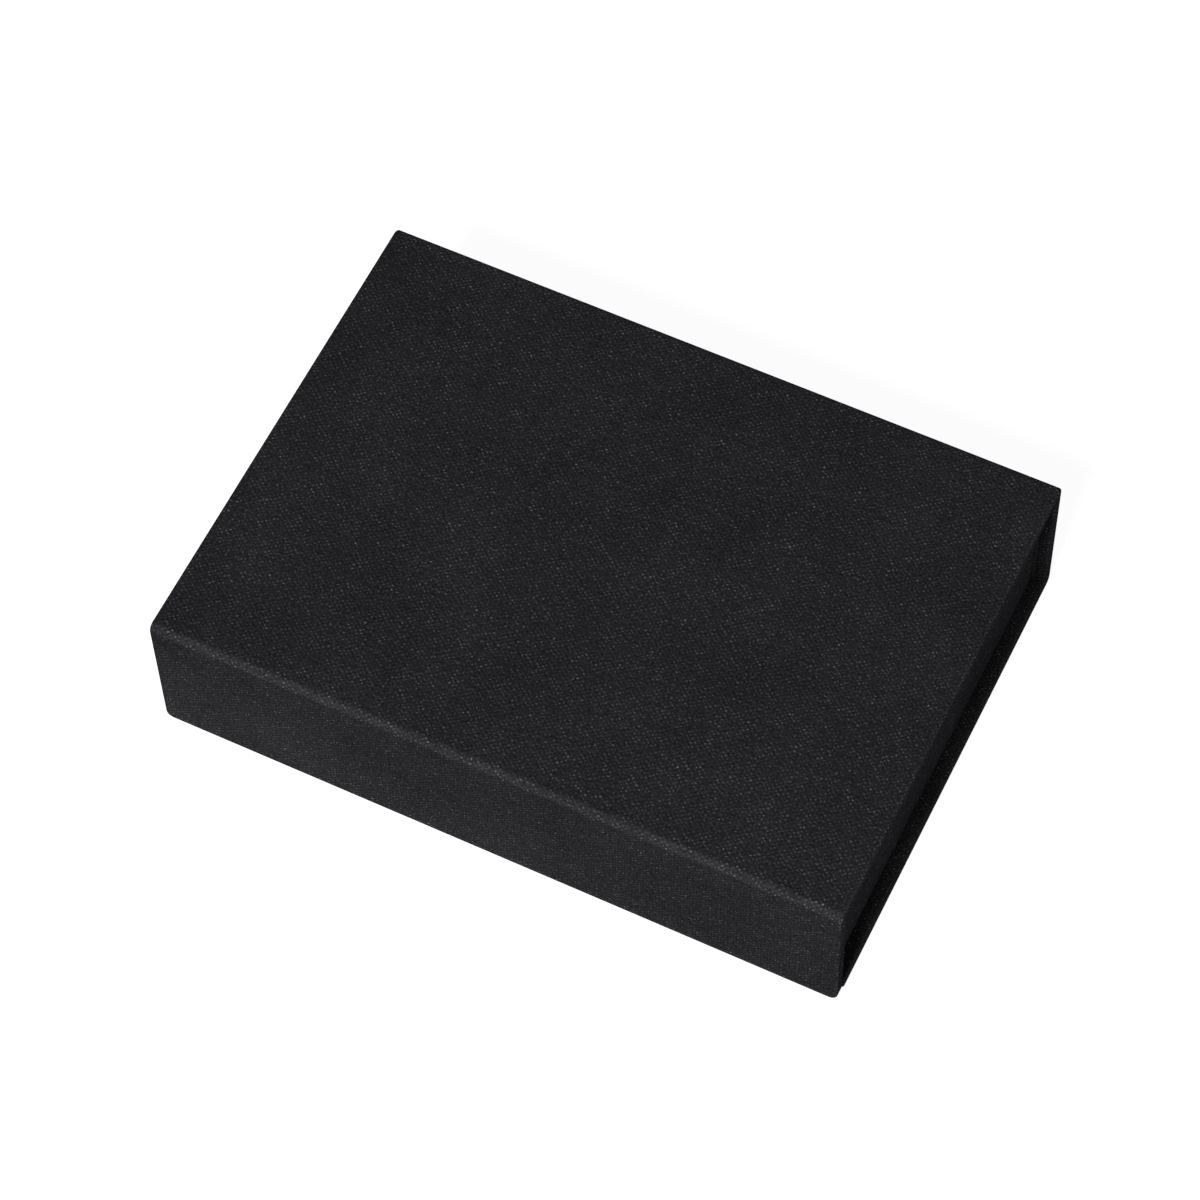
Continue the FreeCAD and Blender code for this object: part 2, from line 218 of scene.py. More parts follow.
def move(x=0, y=0, z=0):
    bpy.ops.transform.translate(value=(x, y, z))


def round_edges(radius, segments=4):
    """Round the chosen edges."""
    bpy.ops.mesh.bevel(
        offset_type="OFFSET", offset=radius, segments=segments, profile=0.5, affect="EDGES", clamp_overlap=False
    )


def add_block(name, low, high):
    """Add a block between two corners."""
    deselect_all()
    low, high = Vector(low), Vector(high)
    bpy.ops.mesh.primitive_cube_add(size=1, location=(low + high) / 2, scale=high - low)
    bpy.ops.object.transform_apply(location=True, rotation=True, scale=True)
    piece = bpy.context.object
    piece.name = piece.data.name = name
    return piece


def add_prism(name, half_length, outline):
    """Draw an outline in the YZ plane, a vertex pulled from the one before it, and extrude its face along X."""
    deselect_all()
    bpy.ops.mesh.primitive_plane_add(size=MM, location=(-half_length, *outline[0]))
    bpy.ops.object.transform_apply(location=True, rotation=True, scale=True)
    piece = bpy.context.object
    piece.name = piece.data.name = name
    edit(piece, "VERT")
    bpy.ops.mesh.select_all(action="SELECT")
    bpy.ops.mesh.merge(type="CENTER")
    for (y, z), (next_y, next_z) in pairwise(outline):
        bpy.ops.mesh.extrude_region_move(TRANSFORM_OT_translate={"value": (0, next_y - y, next_z - z)})
    bpy.ops.mesh.select_all(action="SELECT")
    bpy.ops.mesh.edge_face_add()
    bpy.ops.mesh.extrude_region_move(TRANSFORM_OT_translate={"value": (2 * half_length, 0, 0)})
    bpy.ops.mesh.select_all(action="SELECT")
    bpy.ops.mesh.normals_make_consistent(inside=False)
    leave_edit()
    return piece


def apply_modifiers(piece):
    deselect_all()
    piece.select_set(True)
    bpy.context.view_layer.objects.active = piece
    for modifier in list(piece.modifiers):
        bpy.ops.object.modifier_apply(modifier=modifier.name)


def take_away(piece, *cutters):
    """Cut pieces out of another one, and delete them."""
    for cutter in cutters:
        modifier = piece.modifiers.new("hollow", "BOOLEAN")
        modifier.operation = "DIFFERENCE"
        modifier.solver = "EXACT"
        modifier.object = cutter
        apply_modifiers(piece)
        bpy.data.objects.remove(cutter)


def smooth(piece, angle=35):
    """Shade a piece smooth over its rounded edges, and leave its flat faces flat."""
    bpy.ops.object.shade_smooth_by_angle(angle=math.radians(angle), keep_sharp_edges=False)
    weighting = piece.modifiers.new("flat faces", "WEIGHTED_NORMAL")
    weighting.keep_sharp = True
    weighting.weight = 80
    apply_modifiers(piece)


# Folds.


def arc(centre, radius, start, end, steps):
    """Points on an arc in the YZ plane, both ends included, with angles in degrees from +Y towards +Z."""
    points = []
    for step in range(steps + 1):
        angle = math.radians(start + (end - start) * step / steps)
        points.append((centre[0] + radius * math.cos(angle), centre[1] + radius * math.sin(angle)))
    return points


class Fold:
    """One of the case's two hinges: where it bends, and which way the lid and the wall lie from it."""

    def __init__(self, out, bend):
        # out is -1 at the front and 1 at the back
        self.out = out
        self.face = FRONT if out < 0 else BACK
        self.centre = (self.face - out * bend, TOP - bend)
        self.bend = bend
        diagonal = Vector((out, 1)) / math.sqrt(2)
        self.pivot = Vector(self.centre) + bend * diagonal
        self.inward = -diagonal
        # along the slit's width, from the wall's side to the lid's
        self.across = Vector((-out, 1)) / math.sqrt(2)

    def at(self, depth):
        """The point of the slit's middle plane at a depth under the pivot."""
        return tuple(self.pivot + depth * self.inward)

    def inner(self, layer, side, on_lid):
        """Where a layer's inner face meets the slit's side: layer is its depth below the box's faces."""
        lean = math.sqrt(2) * side
        if on_lid:
            return (self.face - self.out * (layer + lean), TOP - layer)
        return (self.face - self.out * layer, TOP - layer - lean)

    def holds(self, y, z):
        """Whether a place is in the bend's own corner."""
        return self.out * (y - self.centre[0]) > -SAME and z - self.centre[1] > -SAME

    def outer_arc(self, inset=0.0, steps=16):
        """The bend's own arc, from the lid to the wall."""
        angles = (90, 180) if self.out < 0 else (90, 0)
        return arc(self.centre, self.bend - inset, *angles, steps)

    def on_arc(self, inset, side, on_lid):
        """Where a line beside the slit meets an arc under the bend's."""
        radius = self.bend - inset
        along = math.sqrt(radius**2 - side**2)
        return tuple(Vector(self.centre) - along * self.inward + (side if on_lid else -side) * self.across)

    def bends(self, piece, first, second):
        """Bake a piece's transform into its mesh."""
        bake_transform(piece)


# Materials.


class Nodes:
    """A node tree that is being wired."""

    def __init__(self, tree):
        self.tree = tree
        self.tree.nodes.clear()

    def add(self, kind, values=(), **settings):
        made = self.tree.nodes.new(kind)
        for name, value in settings.items():
            setattr(made, name, value)
        for socket, value in dict(values).items():
            self.put(made.inputs[socket], value)
        return made

    def put(self, socket, value):
        if isinstance(value, bpy.types.NodeSocket):
            self.tree.links.new(value, socket)
        else:
            socket.default_value = value

    def math(self, operation, a, b=None):
        values = {0: a} if b is None else {0: a, 1: b}
        return self.add("ShaderNodeMath", values, operation=operation).outputs[0]

    def vector_math(self, operation, a, b):
        return self.add("ShaderNodeVectorMath", {0: a, 1: b}, operation=operation).outputs[0]

    def noise(self, vector, scale, detail=2.0, roughness=0.5, output="Fac"):
        values = {"Vector": vector, "Scale": scale, "Detail": detail, "Roughness": roughness}
        return self.add("ShaderNodeTexNoise", values).outputs[output]

    def remap(self, value, from_low, from_high, to_low=0.0, to_high=1.0, smooth_step=False):
        kind = "SMOOTHSTEP" if smooth_step else "LINEAR"
        values = {0: value, 1: from_low, 2: from_high, 3: to_low, 4: to_high}
        return self.add("ShaderNodeMapRange", values, interpolation_type=kind).outputs[0]

    def mix_colour(self, factor, a, b, blend="MIX"):
        made = self.add("ShaderNodeMix", data_type="RGBA", blend_type=blend, clamp_factor=True)
        self.put(made.inputs[0], factor)
        self.put(made.inputs[6], a)
        self.put(made.inputs[7], b)
        return made.outputs[2]

    def shaded(self, colour, tone):
        """A colour made paler or darker by a tone, where 1 leaves it as it is."""
        grey = self.add("ShaderNodeCombineXYZ", {0: tone, 1: tone, 2: tone}).outputs[0]
        return self.mix_colour(1.0, colour, grey, blend="MULTIPLY")

    def group(self, tree, values):
        return self.add("ShaderNodeGroup", values, node_tree=tree).outputs


def new_group(name, inputs, outputs):
    """An empty node group, with its named inputs, as name: (kind, default), and outputs, as name: kind."""
    tree = bpy.data.node_groups.new(name, "ShaderNodeTree")
    nodes = Nodes(tree)
    for label, (kind, default) in inputs.items():
        socket = tree.interface.new_socket(label, in_out="INPUT", socket_type=f"NodeSocket{kind}")
        if default is not None:
            socket.default_value = default
    for label, kind in outputs.items():
        tree.interface.new_socket(label, in_out="OUTPUT", socket_type=f"NodeSocket{kind}")
    entry = nodes.add("NodeGroupInput").outputs
    result = nodes.add("NodeGroupOutput").inputs
    return tree, nodes, entry, result


def make_uneven_group():
    """Broad, soft unevenness, as glue and board leave in a covering: a value round 0."""
    tree, nodes, entry, result = new_group(
        "Unevenness", {"Vector": ("Vector", None), "Scale": ("Float", 60.0)}, {"Value": "Float"}
    )
    broad = nodes.noise(entry["Vector"], entry["Scale"], detail=3.0)
    nodes.put(result["Value"], nodes.math("SUBTRACT", broad, 0.5))
    return tree


def patches(nodes, uneven, place, scale, spread):
    """Broad patches in a material: their tone, up to spread off 1, and the unevenness it follows."""
    value = nodes.group(uneven, {"Vector": place, "Scale": scale})["Value"]
    return nodes.remap(value, -UNEVEN, UNEVEN, 1 - spread, 1 + spread), value


def make_weave_group():
    """Pebbled book cloth: threads that rise as beads where they cross, on a lattice with a bead in each cell's
    middle, each bead of its own size and strength. The tone paints the beads' crowns paler than the ground, as
    painted glints; the ground's grain and slubs are the cloth's own tone. Vector is the place on the flat cloth in
    metres."""
    tree, nodes, entry, result = new_group(
        "Pebbled weave",
        {
            "Vector": ("Vector", None),
            "Cell across": ("Float", 1.52 * MM),
            "Cell along": ("Float", 1.13 * MM),
            "Contrast": ("Float", 0.5),
        },
        {"Tone with glints": "Float", "Height": "Float"},
    )
    place = entry["Vector"]
    # threads wander from their lattice, in long waves and from bead to bead
    wandered = place
    for scale, reach in ((430.0, 1.1 * MM), (1400.0, 0.55 * MM)):
        drift = nodes.noise(place, scale, detail=1.0, output="Color")
        centred = nodes.vector_math("SUBTRACT", drift, (0.5, 0.5, 0.5))
        wandered = nodes.vector_math("ADD", wandered, nodes.vector_math("MULTIPLY", centred, (reach, reach, 0.0)))
    parts = nodes.add("ShaderNodeSeparateXYZ", {0: wandered}).outputs
    waves = []
    for part, cell in ((parts[0], entry["Cell across"]), (parts[1], entry["Cell along"])):
        turn = nodes.math("MULTIPLY", nodes.math("DIVIDE", part, cell), math.tau)
        waves.append(nodes.math("COSINE", turn))
    lattice = nodes.math("MULTIPLY", *waves)
    bead = nodes.remap(lattice, 0.05, 1.0, smooth_step=True)
    # each bead has its own strength, and the strong ones come in clusters
    own = nodes.remap(nodes.noise(place, 950.0, detail=0.0), 0.3, 0.64, 0.12, 1.0)
    cluster = nodes.remap(nodes.noise(place, 330.0, detail=2.0), 0.34, 0.66, 0.4, 1.2)
    crest = nodes.math("MULTIPLY", bead, nodes.math("MULTIPLY", own, cluster))
    # fibres between them, and thicker stretches of thread
    grain = nodes.math("SUBTRACT", nodes.noise(place, 1600.0, detail=2.0, roughness=0.6), 0.5)
    slub = nodes.math("SUBTRACT", nodes.noise(nodes.vector_math("MULTIPLY", place, (240.0, 1700.0, 1.0)), 1.0), 0.5)
    ground = nodes.math("ADD", nodes.math("MULTIPLY", grain, 4.6), nodes.math("MULTIPLY", slub, 1.6))
    height = nodes.math("ADD", nodes.math("MULTIPLY", crest, 3.0), ground)
    level = nodes.math("SUBTRACT", height, 0.6)
    # painted glints: the beads' crests are painted paler in the tone, besides their bump
    nodes.put(result["Tone with glints"], nodes.math("POWER", math.e, nodes.math("MULTIPLY", level, entry["Contrast"])))
    nodes.put(result["Height"], height)
    return tree


def make_pressed_group():
    """The faint print of the two discs under a covering: 1 over each of them, and 0 past its edge."""
    tree, nodes, entry, result = new_group(
        "Pressed disc",
        {
            "Vector": ("Vector", None),
            "Off middle": ("Float", CLOSURE_OFF_MIDDLE),
            "Up": ("Float", CLOSURE_HEIGHT),
            "Radius": ("Float", MAGNET_RADIUS),
        },
        {"Height": "Float"},
    )
    parts = nodes.add("ShaderNodeSeparateXYZ", {0: entry["Vector"]}).outputs
    sideways = nodes.math("SUBTRACT", nodes.math("ABSOLUTE", parts[0]), entry["Off middle"])
    upward = nodes.math("SUBTRACT", parts[2], entry["Up"])
    squared = nodes.math("ADD", nodes.math("MULTIPLY", sideways, sideways), nodes.math("MULTIPLY", upward, upward))
    past_edge = nodes.math("SUBTRACT", nodes.math("SQRT", squared), entry["Radius"])
    height = nodes.remap(past_edge, -0.5 * MM, 0.5 * MM, 1.0, 0.0, smooth_step=True)
    nodes.put(result["Height"], height)
    return tree


def new_material(name):
    """A new material's nodes, its shader, and the place on the piece itself."""
    material = bpy.data.materials.new(name)
    material.use_nodes = True
    nodes = Nodes(material.node_tree)
    shader = nodes.add("ShaderNodeBsdfPrincipled")
    nodes.add("ShaderNodeOutputMaterial", {"Surface": shader.outputs[0]})
    return nodes, shader, nodes.add("ShaderNodeTexCoord").outputs["Object"]


def bump(nodes, height, distance, strength=1.0, normal=None):
    values = {"Height": height, "Distance": distance, "Strength": strength}
    if normal is not None:
        values["Normal"] = normal
    return nodes.add("ShaderNodeBump", values).outputs[0]


def make_book_cloth(name, weave, uneven, pressed):
    """Black pebbled book cloth, its beads painted a little paler than its ground as glints, and painted paler over
    folds and edges, partly as wear and partly as a painted highlight.
    """
    settings = cover_settings()
    nodes, shader, own = new_material(name)
    place = nodes.add("ShaderNodeUVMap", uv_map=FLAT_MAP).outputs[0]
    threads = nodes.group(weave, {"Vector": place, "Contrast": settings.contrast})
    patch, _ = patches(nodes, uneven, own, 60.0, 0.15)
    # painted highlight and wear: folds and edges are painted paler, where the cloth would shine and where it is
    # rubbed
    wear_and_sheen = nodes.add("ShaderNodeAttribute", attribute_name=WEAR_AND_SHEEN_MARK).outputs["Fac"]
    wear_and_sheen_tone = nodes.remap(wear_and_sheen, 0.0, 1.0, 1.0, 1.0 + settings.wear_and_sheen_strength)
    tone = nodes.math("MULTIPLY", threads["Tone with glints"], nodes.math("MULTIPLY", patch, wear_and_sheen_tone))
    nodes.put(shader.inputs["Base Color"], nodes.shaded((*settings.colour, 1.0), tone))
    # the threads' fibres hide each other's shine, also at a grazing angle
    shader.inputs["Roughness"].default_value = 0.9
    shader.inputs["Specular IOR Level"].default_value = 0.0
    normal = bump(nodes, threads["Height"], settings.relief, 1.0)
    if pressed is not None:
        print_height = nodes.group(pressed, {"Vector": own, "Radius": KEEPER_RADIUS})["Height"]
        normal = bump(nodes, print_height, 0.04 * MM, 1.0, normal)
    nodes.put(shader.inputs["Normal"], normal)


def make_paper(uneven, pressed):
    """Uncoated black paper, with the print of the magnets under it."""
    nodes, shader, own = new_material(LINING_PAPER)
    fibres = nodes.noise(own, 1700.0, detail=4.0, roughness=0.68)
    patch, unevenness = patches(nodes, uneven, own, 55.0, 0.14)
    tone = nodes.math("MULTIPLY", nodes.remap(fibres, 0.3, 0.7, 0.6, 1.4), patch)
    nodes.put(shader.inputs["Base Color"], nodes.shaded((*lining_settings().colour, 1.0), tone))
    nodes.put(shader.inputs["Roughness"], nodes.remap(fibres, 0.3, 0.7, 0.78, 0.9))
    shader.inputs["Specular IOR Level"].default_value = 0.1
    normal = bump(nodes, fibres, 0.02 * MM, 0.6)
    broad = bump(nodes, unevenness, 0.12 * MM, 0.5, normal)
    print_height = nodes.group(pressed, {"Vector": own, "Radius": MAGNET_RADIUS})["Height"]
    nodes.put(shader.inputs["Normal"], bump(nodes, print_height, 0.05 * MM, 1.0, broad))


def make_greyboard(uneven):
    """Raw greyboard: pressed waste paper with paler and darker flecks."""
    nodes, shader, own = new_material(GREYBOARD)
    flecks = nodes.noise(own, 900.0, detail=4.0, roughness=0.7)
    dark = nodes.remap(nodes.noise(own, 420.0, detail=0.0), 0.62, 0.7)
    patch, _ = patches(nodes, uneven, own, 45.0, 0.08)
    pulp = nodes.mix_colour(nodes.remap(flecks, 0.3, 0.7), (0.24, 0.22, 0.195, 1), (0.37, 0.35, 0.31, 1))
    flecked = nodes.mix_colour(nodes.math("MULTIPLY", dark, 0.5), pulp, (0.12, 0.11, 0.1, 1))
    nodes.put(shader.inputs["Base Color"], nodes.shaded(flecked, patch))
    shader.inputs["Roughness"].default_value = 0.9
    nodes.put(shader.inputs["Normal"], bump(nodes, flecks, 0.05 * MM, 0.7))


def make_metal(name, uneven, colour, roughness, grain):
    """Plain punched or plated metal with fine rolling marks."""
    nodes, shader, own = new_material(name)
    stretched = nodes.vector_math("MULTIPLY", own, (300.0, 6000.0, 6000.0))
    marks = nodes.noise(stretched, 1.0, detail=2.0)
    patch, _ = patches(nodes, uneven, own, 300.0, 0.1)
    nodes.put(shader.inputs["Base Color"], nodes.shaded(colour, patch))
    shader.inputs["Metallic"].default_value = 1.0
    nodes.put(shader.inputs["Roughness"], nodes.remap(marks, 0.3, 0.7, roughness - grain, roughness + grain))
    nodes.put(shader.inputs["Normal"], bump(nodes, marks, 0.004 * MM, 0.5))


# Settings.


class CoverSettings(bpy.types.PropertyGroup):
    bend: bpy.props.FloatProperty(
        name="Bend", description="Outside radius of the cloth over a fold", default=2.2 * MM, unit="LENGTH"
    )
    edge: bpy.props.FloatProperty(
        name="Edge", description="Rounding of the cloth over a board's edge", default=0.6 * MM, unit="LENGTH"
    )
    corner: bpy.props.FloatProperty(
        name="Corner", description="Radius of the flap's lower corners", default=2.0 * MM, unit="LENGTH"
    )
    turn_in: bpy.props.FloatProperty(
        name="Turn-in",
        description="Width of the cloth that is turned in behind a board",
        default=15 * MM,
        unit="LENGTH",
    )
    colour: bpy.props.FloatVectorProperty(
        name="Colour", description="Mean colour of the cloth", default=(0.0196, 0.0191, 0.0212), subtype="COLOR"
    )
    # the contrast sets how much paler the beads are painted than the ground, as glints, and how strong the ground's
    # own grain is
    contrast: bpy.props.FloatProperty(
        name="Contrast", description="How much paler the beads are than the ground", default=0.56
    )
    relief: bpy.props.FloatProperty(
        name="Relief", description="Height of the beads in the shading", default=0.027 * MM, unit="LENGTH"
    )
    # how much paler the cloth is painted over folds and edges: partly wear, partly a painted highlight
    wear_and_sheen_strength: bpy.props.FloatProperty(
        name="Wear", description="How much paler the cloth is where folds and edges are rubbed", default=0.45
    )


class LiningSettings(bpy.types.PropertyGroup):
    step: bpy.props.FloatProperty(
        name="Step",
        description="Width over which a lining steps down from the turned-in cloth to the board",
        default=1.2 * MM,
        unit="LENGTH",
    )
    colour: bpy.props.FloatVectorProperty(
        name="Colour", description="Colour of the lining paper", default=(0.016, 0.016, 0.017), subtype="COLOR"
    )


class StudioSettings(bpy.types.PropertyGroup):
    key: bpy.props.FloatProperty(name="Key", description="Power of the main lamp", default=17.2, unit="POWER")
    side: bpy.props.FloatProperty(
        name="Side", description="Power of the weak lamp on the right", default=1.1, unit="POWER"
    )
    fill: bpy.props.FloatProperty(name="Fill", description="Light that comes from all sides", default=0.25)
    lens: bpy.props.FloatProperty(name="Lens", description="Focal length in millimetres", default=129.0)


def cover_settings():
    return bpy.context.scene.photo_box_cover


def lining_settings():
    return bpy.context.scene.photo_box_lining


def studio_settings():
    return bpy.context.scene.photo_box_studio


def finish_of(slot):
    return bpy.data.materials[FINISHES[slot]]


def dress(piece, slot, *nodes):
    """Give a piece the material for one of the record's slots, and hide the nodes that it stands for."""
    piece.data.materials.clear()
    piece.data.materials.append(finish_of(slot))
    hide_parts(*nodes)


# The case's cloth.


def unrolled(place, normal, fold):
    """A place on the case's cloth as it lay flat: across the box, and along it from the lid's middle."""
    x, y, z = place
    if abs(normal.x) > 0.05:
        return math.copysign(abs(x) + TOP - z, x), y
    straight = abs(fold.centre[0])
    past = fold.out * y - straight
    quarter = fold.bend * math.pi / 2
    wall = TOP - 2 * fold.bend
    if fold.holds(y, z):
        along = straight + fold.bend * math.atan2(past, z - fold.centre[1])
    elif past > 0 and z < fold.bend:
        along = straight + quarter + wall + fold.bend * math.atan2(fold.bend - z, past)
    elif near(abs(normal.y), abs(normal.z), 0.01):
        # the slopes inside the fold
        along = straight + math.copysign(math.sqrt(2) * (TOP - z), normal.z)
    elif abs(normal.y) > abs(normal.z):
        along = straight + quarter + fold.centre[1] - z
    elif z > TOP / 2:
        along = fold.out * y
    else:
        along = 2 * (straight + quarter) + wall - fold.out * y
    return x, fold.out * along


def lay_cloth(piece, place_of, wear_and_sheen_at):
    """Give a piece a UV map, in metres on the flat cloth, and mark, from 0 to 1, where it is painted paler, as wear
    and as a painted highlight: wear_and_sheen_at gives a place's marks, of which the strongest holds."""
    mesh = piece.data
    while mesh.uv_layers:
        mesh.uv_layers.remove(mesh.uv_layers[0])
    layer = mesh.uv_layers.new(name=FLAT_MAP)
    for face in mesh.polygons:
        for loop in face.loop_indices:
            place = mesh.vertices[mesh.loops[loop].vertex_index].co
            layer.data[loop].uv = place_of(place, face.normal)
    wear_and_sheen = mesh.attributes.new(WEAR_AND_SHEEN_MARK, "FLOAT", "POINT")
    for vertex, mark in zip(mesh.vertices, wear_and_sheen.data):
        mark.value = min(1.0, max(0.0, *wear_and_sheen_at(vertex.co)))


def on_rounding(first, second, radius):
    """How near a place lies to the middle of the rounding between two faces, from 0 on the flat to 1, by its depth
    under each face."""
    if min(first, second) < 0 or max(first, second) > radius + SAME:
        return 0.0
    return min(first, second) / (radius * (1 - math.sqrt(0.5)))


def over_fold(fold, outside):
    """The outline of a covered board on each side of a fold, from the lid's seam and back: outside holds its
    corners beyond the fold."""
    return [
        (SEAM, TOP),
        *fold.outer_arc(),
        *outside,
        fold.inner(PANEL, SLIT, on_lid=False),
        fold.at(FOLD_WEB),
        fold.inner(PANEL, SLIT, on_lid=True),
        (SEAM, TOP - PANEL),
    ]


def boards_at_fold(fold, foot):
    """The outline of the boards under the cloth on each side of a fold, with foot for their far corners."""
    past_seam = SEAM - fold.out * PAST
    # how deep under the bend the boards' mitred tips end
    tip = CLOTH + 0.4 * MM
    return [
        (past_seam, TOP - CLOTH),
        *fold.outer_arc(CLOTH, 12),
        *foot,
        fold.inner(BOARD_FACE, LINING, on_lid=False),
        fold.on_arc(tip, LINING, on_lid=False),
        fold.on_arc(tip, LINING, on_lid=True),
        fold.inner(BOARD_FACE, LINING, on_lid=True),
        (past_seam, TOP - BOARD_FACE),
    ]


def window_at_fold(fold, foot):
    """The outline of what the turned-in cloth leaves free behind the boards on each side of a fold."""
    past_seam = SEAM - fold.out * PAST
    lean = LINING + CLEAR
    return [
        (past_seam, TOP - WINDOW_FACE),
        fold.inner(WINDOW_FACE, lean, on_lid=True),
        fold.on_arc(CLOTH + CLEAR, lean, on_lid=True),
        fold.at(CLOTH),
        fold.on_arc(CLOTH + CLEAR, lean, on_lid=False),
        fold.inner(WINDOW_FACE, lean, on_lid=False),
        *foot,
        (past_seam, TOP - BEHIND),
    ]


def lining_at_fold(fold):
    """The outline of the lining inside a fold."""
    return [
        fold.inner(PANEL, LINING, on_lid=False),
        fold.on_arc(CLOTH, LINING, on_lid=False),
        fold.at(CLOTH),
        fold.on_arc(CLOTH, LINING, on_lid=True),
        fold.inner(PANEL, LINING, on_lid=True),
    ]


def wrap_boards(name, outline, rim, boards, window, fold=None, shape=None):
    """Wrap a part of the case: its outline drawn out to the box's ends, rounded on its rim, hollow for the boards,
    open between its turned-in edges, and with room for the lining in its fold."""
    settings = cover_settings()
    cloth = add_prism(name, END, outline)
    edit(cloth)
    if shape:
        shape()
    choose("EDGE", rim)
    round_edges(settings.edge)
    leave_edit()
    hollow = add_prism("boards", END - CLOTH, boards)
    opening = add_prism("opening", END - settings.turn_in, window)
    take_away(cloth, hollow, opening)
    if fold:
        middle = fold.at(PANEL * math.sqrt(2) + PAST)
        take_away(cloth, add_prism("lining", LINING_END, [*lining_at_fold(fold), middle]))
    smooth(cloth)
    return cloth


def case_wear_and_sheen(place, fold):
    """How much paler a place is painted over a fold, and over the rims at the box's ends, as wear and as a painted
    highlight.
    """
    end, wall, top = END - abs(place.x), fold.out * (fold.face - place.y), TOP - place.z
    edge = cover_settings().edge
    return [on_rounding(end, top, edge), on_rounding(end, wall, edge), on_rounding(wall, top, fold.bend)]


def on_end(corners):
    """Whether an edge lies on one of the box's end faces."""
    return corners[0].x * corners[1].x > 0 and all(abs(corner.x) > END - CLEAR for corner in corners)


def in_plane(corners, axis, *places):
    return any(all(near(corner[axis], place) for corner in corners) for place in places)


def make_front_cloth():
    """Cover the lid's front part and the flap, over the front fold, in one piece."""
    settings = cover_settings()
    fold = Fold(-1, settings.bend)
    back_face = FRONT + PANEL
    board_foot = FLAP_FOOT + CLOTH
    window_foot = FLAP_FOOT + settings.turn_in

    def shape():
        # the flap's lower corners are rounded in its own plane
        choose("EDGE", lambda corners: on_end(corners) and in_plane(corners, 2, FLAP_FOOT))
        round_edges(settings.corner, 8)

    def rim(corners):
        if in_plane(corners, 1, FRONT, back_face):
            low = all(corner.z < FLAP_FOOT + settings.corner + REACH for corner in corners)
            return low or on_end(corners)
        on_bend = all(fold.holds(corner.y, corner.z) for corner in corners)
        return on_end(corners) and (in_plane(corners, 2, TOP, TOP - PANEL) or on_bend)

    cloth = wrap_boards(
        "front_case_cloth",
        over_fold(fold, [(FRONT, FLAP_FOOT), (back_face, FLAP_FOOT)]),
        rim,
        boards_at_fold(fold, [(FRONT + CLOTH, board_foot), (FRONT + BOARD_FACE, board_foot)]),
        window_at_fold(
            fold, [(FRONT + WINDOW_FACE, window_foot), (FRONT + BEHIND, window_foot), (FRONT + BEHIND, TOP - BEHIND)]
        ),
        fold,
        shape,
    )

    # painted paler over the flap's corners and foot, as wear and as a painted highlight
    def wear_and_sheen_at(place):
        foot = place.z - FLAP_FOOT
        at_corner = on_rounding(END - abs(place.x), foot, settings.corner)
        return [*case_wear_and_sheen(place, fold), at_corner, on_rounding(place.y - FRONT, foot, settings.edge)]

    lay_cloth(cloth, lambda place, normal: unrolled(place, normal, fold), wear_and_sheen_at)
    dress(cloth, CASE_SLOT, "flap_cloth", "lid_cloth")
    fold.bends(cloth, "lid", "flap")


def make_spine_cloth():
    """Cover the lid's back strip and the spine's upper part, over the back fold, in one piece."""
    fold = Fold(1, cover_settings().bend)
    past_seam = SPINE_SEAM - PAST

    def rim(corners):
        on_bend = all(fold.holds(corner.y, corner.z) for corner in corners)
        flat = in_plane(corners, 2, TOP, TOP - PANEL) or in_plane(corners, 1, BACK, BACK - PANEL)
        return on_end(corners) and (flat or on_bend)

    cloth = wrap_boards(
        "spine_case_cloth",
        over_fold(fold, [(BACK, SPINE_SEAM), (BACK - PANEL, SPINE_SEAM)]),
        rim,
        boards_at_fold(fold, [(BACK - CLOTH, past_seam), (BACK - BOARD_FACE, past_seam)]),
        window_at_fold(
            fold, [(BACK - WINDOW_FACE, past_seam), (BACK - BEHIND, past_seam), (BACK - BEHIND, TOP - BEHIND)]
        ),
        fold,
    )
    lay_cloth(cloth, lambda place, normal: unrolled(place, normal, fold), lambda place: case_wear_and_sheen(place, fold))
    dress(cloth, CASE_SLOT, "spine_cloth")
    fold.bends(cloth, "root", "lid")


